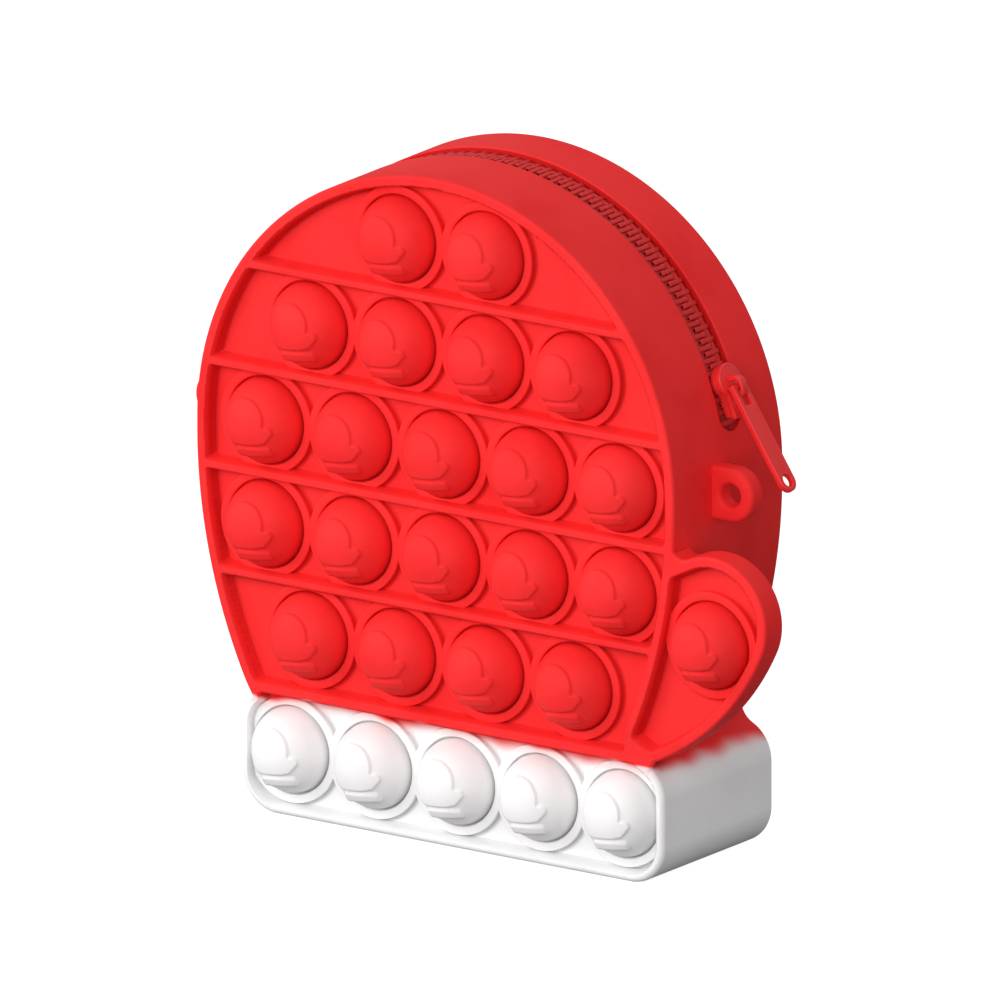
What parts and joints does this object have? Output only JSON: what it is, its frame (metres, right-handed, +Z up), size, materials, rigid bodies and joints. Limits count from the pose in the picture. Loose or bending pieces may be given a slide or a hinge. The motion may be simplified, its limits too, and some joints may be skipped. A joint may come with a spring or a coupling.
{
  "type": "silicone push-bubble pouch",
  "caption": "Mitten-shaped silicone crossbody pouch with push bubbles on its front, a white cuff, a zip round its top and a strap lug on each side.",
  "frame": {"origin": "on the flat bottom of the cuff, below the middle bubble of the middle row and half way through the depth without the bubbles", "axes": "+X to the right of the front, towards the thumb; +Y from the front to the back; +Z up"},
  "size_m": [0.1729, 0.0513, 0.1608],
  "materials": {
    "red_silicone": "satin moulded silicone",
    "white_silicone": "satin moulded silicone",
    "zip_tape": "woven tape",
    "zip_teeth": "moulded teeth",
    "slider_metal": "red lacquer on cast zinc"
  },
  "bodies": {
    "pouch": {"front_shell": "red_silicone", "front_wall": "red_silicone", "back_shell": "red_silicone", "cuff_shell": "white_silicone", "zip_tape_front": "zip_tape", "zip_tape_back": "zip_tape", "zip_teeth_front": "zip_teeth", "zip_teeth_back": "zip_teeth", "zip_top_stop": "zip_teeth", "zip_bottom_stop": "zip_teeth", "strap_lug_right": "red_silicone", "strap_lug_left": "red_silicone"},
    "slider": {"slider_top_wing": "slider_metal", "slider_bottom_wing": "slider_metal"},
    "pull": {"pull_tab": "slider_metal"},
    "bubble_row1_1": {"bubble_row1_1": "red_silicone"},
    "bubble_row1_2": {"bubble_row1_2": "red_silicone"},
    "bubble_row1_3": {"bubble_row1_3": "red_silicone"},
    "bubble_row1_4": {"bubble_row1_4": "red_silicone"},
    "bubble_row2_1": {"bubble_row2_1": "red_silicone"},
    "bubble_row2_2": {"bubble_row2_2": "red_silicone"},
    "bubble_row2_3": {"bubble_row2_3": "red_silicone"},
    "bubble_row2_4": {"bubble_row2_4": "red_silicone"},
    "bubble_row2_5": {"bubble_row2_5": "red_silicone"},
    "bubble_row3_1": {"bubble_row3_1": "red_silicone"},
    "bubble_row3_2": {"bubble_row3_2": "red_silicone"},
    "bubble_row3_3": {"bubble_row3_3": "red_silicone"},
    "bubble_row3_4": {"bubble_row3_4": "red_silicone"},
    "bubble_row3_5": {"bubble_row3_5": "red_silicone"},
    "bubble_row4_1": {"bubble_row4_1": "red_silicone"},
    "bubble_row4_2": {"bubble_row4_2": "red_silicone"},
    "bubble_row4_3": {"bubble_row4_3": "red_silicone"},
    "bubble_row4_4": {"bubble_row4_4": "red_silicone"},
    "bubble_row5_1": {"bubble_row5_1": "red_silicone"},
    "bubble_row5_2": {"bubble_row5_2": "red_silicone"},
    "bubble_thumb": {"bubble_thumb": "red_silicone"},
    "bubble_cuff_1": {"bubble_cuff_1": "white_silicone"},
    "bubble_cuff_2": {"bubble_cuff_2": "white_silicone"},
    "bubble_cuff_3": {"bubble_cuff_3": "white_silicone"},
    "bubble_cuff_4": {"bubble_cuff_4": "white_silicone"},
    "bubble_cuff_5": {"bubble_cuff_5": "white_silicone"}
  },
  "joints": [
    {"name": "slider_travel", "type": "hinge", "parent": "pouch", "child": "slider", "pos_m": [-0.0007, 0.0033, 0.09305], "axis": [0, -1, 0], "range_deg": [0, 145]},
    {"name": "pull_swing", "type": "hinge", "parent": "slider", "child": "pull", "pos_m": [0.06715, 0.0033, 0.11586], "axis": [0, -1, 0], "range_deg": [-16, 165]},
    {"name": "pop_row1_1", "type": "slide", "parent": "pouch", "child": "bubble_row1_1", "axis": [0, 1, 0], "range_m": [0, 0.0194]},
    {"name": "pop_row1_2", "type": "slide", "parent": "pouch", "child": "bubble_row1_2", "axis": [0, 1, 0], "range_m": [0, 0.0194]},
    {"name": "pop_row1_3", "type": "slide", "parent": "pouch", "child": "bubble_row1_3", "axis": [0, 1, 0], "range_m": [0, 0.0194]},
    {"name": "pop_row1_4", "type": "slide", "parent": "pouch", "child": "bubble_row1_4", "axis": [0, 1, 0], "range_m": [0, 0.0194]},
    {"name": "pop_row2_1", "type": "slide", "parent": "pouch", "child": "bubble_row2_1", "axis": [0, 1, 0], "range_m": [0, 0.0194]},
    {"name": "pop_row2_2", "type": "slide", "parent": "pouch", "child": "bubble_row2_2", "axis": [0, 1, 0], "range_m": [0, 0.0194]},
    {"name": "pop_row2_3", "type": "slide", "parent": "pouch", "child": "bubble_row2_3", "axis": [0, 1, 0], "range_m": [0, 0.0194]},
    {"name": "pop_row2_4", "type": "slide", "parent": "pouch", "child": "bubble_row2_4", "axis": [0, 1, 0], "range_m": [0, 0.0194]},
    {"name": "pop_row2_5", "type": "slide", "parent": "pouch", "child": "bubble_row2_5", "axis": [0, 1, 0], "range_m": [0, 0.0194]},
    {"name": "pop_row3_1", "type": "slide", "parent": "pouch", "child": "bubble_row3_1", "axis": [0, 1, 0], "range_m": [0, 0.0194]},
    {"name": "pop_row3_2", "type": "slide", "parent": "pouch", "child": "bubble_row3_2", "axis": [0, 1, 0], "range_m": [0, 0.0194]},
    {"name": "pop_row3_3", "type": "slide", "parent": "pouch", "child": "bubble_row3_3", "axis": [0, 1, 0], "range_m": [0, 0.0194]},
    {"name": "pop_row3_4", "type": "slide", "parent": "pouch", "child": "bubble_row3_4", "axis": [0, 1, 0], "range_m": [0, 0.0194]},
    {"name": "pop_row3_5", "type": "slide", "parent": "pouch", "child": "bubble_row3_5", "axis": [0, 1, 0], "range_m": [0, 0.0194]},
    {"name": "pop_row4_1", "type": "slide", "parent": "pouch", "child": "bubble_row4_1", "axis": [0, 1, 0], "range_m": [0, 0.0194]},
    {"name": "pop_row4_2", "type": "slide", "parent": "pouch", "child": "bubble_row4_2", "axis": [0, 1, 0], "range_m": [0, 0.0194]},
    {"name": "pop_row4_3", "type": "slide", "parent": "pouch", "child": "bubble_row4_3", "axis": [0, 1, 0], "range_m": [0, 0.0194]},
    {"name": "pop_row4_4", "type": "slide", "parent": "pouch", "child": "bubble_row4_4", "axis": [0, 1, 0], "range_m": [0, 0.0194]},
    {"name": "pop_row5_1", "type": "slide", "parent": "pouch", "child": "bubble_row5_1", "axis": [0, 1, 0], "range_m": [0, 0.0194]},
    {"name": "pop_row5_2", "type": "slide", "parent": "pouch", "child": "bubble_row5_2", "axis": [0, 1, 0], "range_m": [0, 0.0194]},
    {"name": "pop_thumb", "type": "slide", "parent": "pouch", "child": "bubble_thumb", "axis": [0, 1, 0], "range_m": [0, 0.0194]},
    {"name": "pop_cuff_1", "type": "slide", "parent": "pouch", "child": "bubble_cuff_1", "axis": [0, 1, 0], "range_m": [0, 0.0194]},
    {"name": "pop_cuff_2", "type": "slide", "parent": "pouch", "child": "bubble_cuff_2", "axis": [0, 1, 0], "range_m": [0, 0.0194]},
    {"name": "pop_cuff_3", "type": "slide", "parent": "pouch", "child": "bubble_cuff_3", "axis": [0, 1, 0], "range_m": [0, 0.0194]},
    {"name": "pop_cuff_4", "type": "slide", "parent": "pouch", "child": "bubble_cuff_4", "axis": [0, 1, 0], "range_m": [0, 0.0194]},
    {"name": "pop_cuff_5", "type": "slide", "parent": "pouch", "child": "bubble_cuff_5", "axis": [0, 1, 0], "range_m": [0, 0.0194]}
  ]
}
